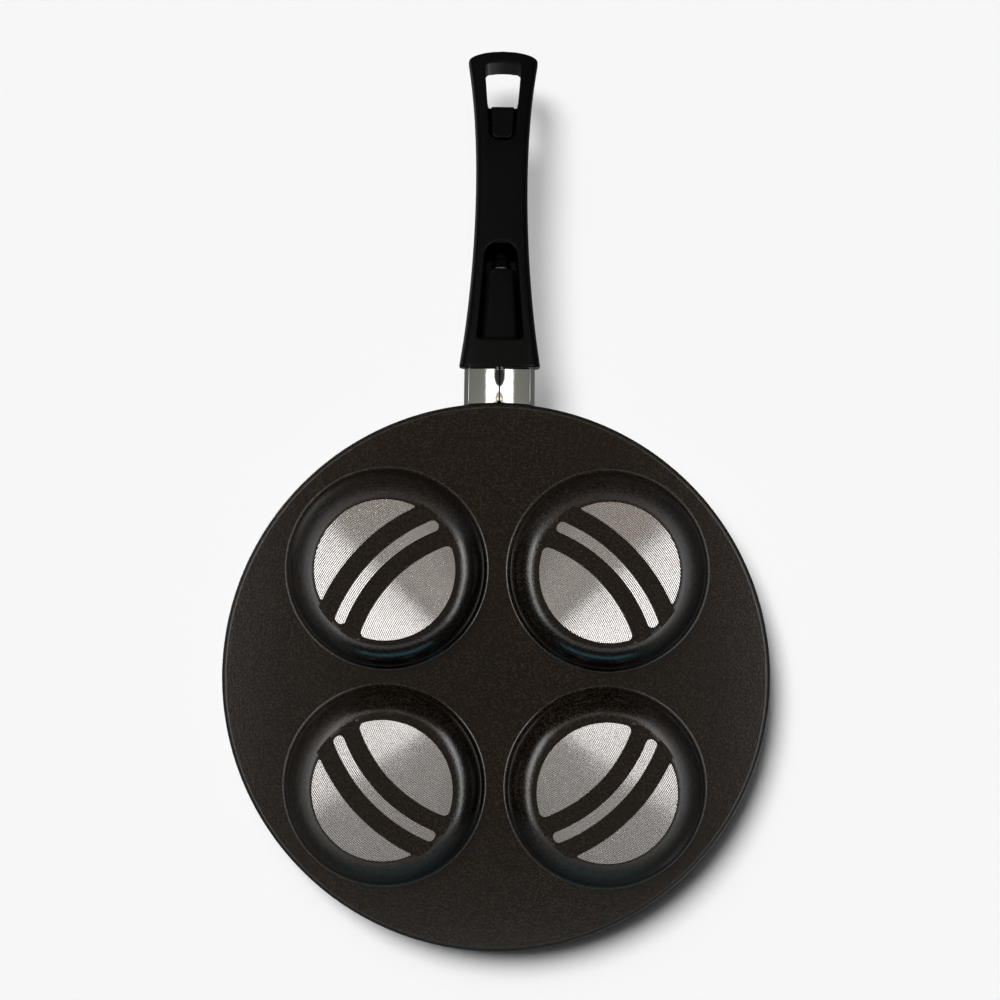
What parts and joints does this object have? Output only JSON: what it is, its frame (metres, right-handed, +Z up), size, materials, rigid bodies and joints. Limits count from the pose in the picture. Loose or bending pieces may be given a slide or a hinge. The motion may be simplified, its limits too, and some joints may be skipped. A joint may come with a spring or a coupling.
{
  "type": "pancake pan",
  "caption": "Pressed aluminium pancake pan: round wells in a low-rimmed plate with bright turned faces below, a steel ferrule and a screwed-on black handle with a hanging hole.",
  "frame": {"origin": "under the middle of the whole pan's bounding box, on the plane of the turned faces it stands on", "axes": "+Z up out of the open wells, +Y along the handle towards its tail, +X across the pan"},
  "size_m": [0.26, 0.4342, 0.0583],
  "materials": {
    "coated_aluminium": "satin dark brown-black non-stick coating, bare and lathe-turned on the faces under the wells",
    "polished_steel": "mirror polish",
    "black_thermoset": "satin with a fine grain",
    "stud_aluminium": "machined",
    "dark_steel": "blackened",
    "zinc_steel": "bright zinc"
  },
  "bodies": {
    "root": {"pan_body": "coated_aluminium", "ferrule": "polished_steel", "handle": "black_thermoset", "handle_stud": "stud_aluminium", "handle_screw": "dark_steel", "flat_washer": "zinc_steel", "spring_washer": "dark_steel"}
  },
  "joints": []
}
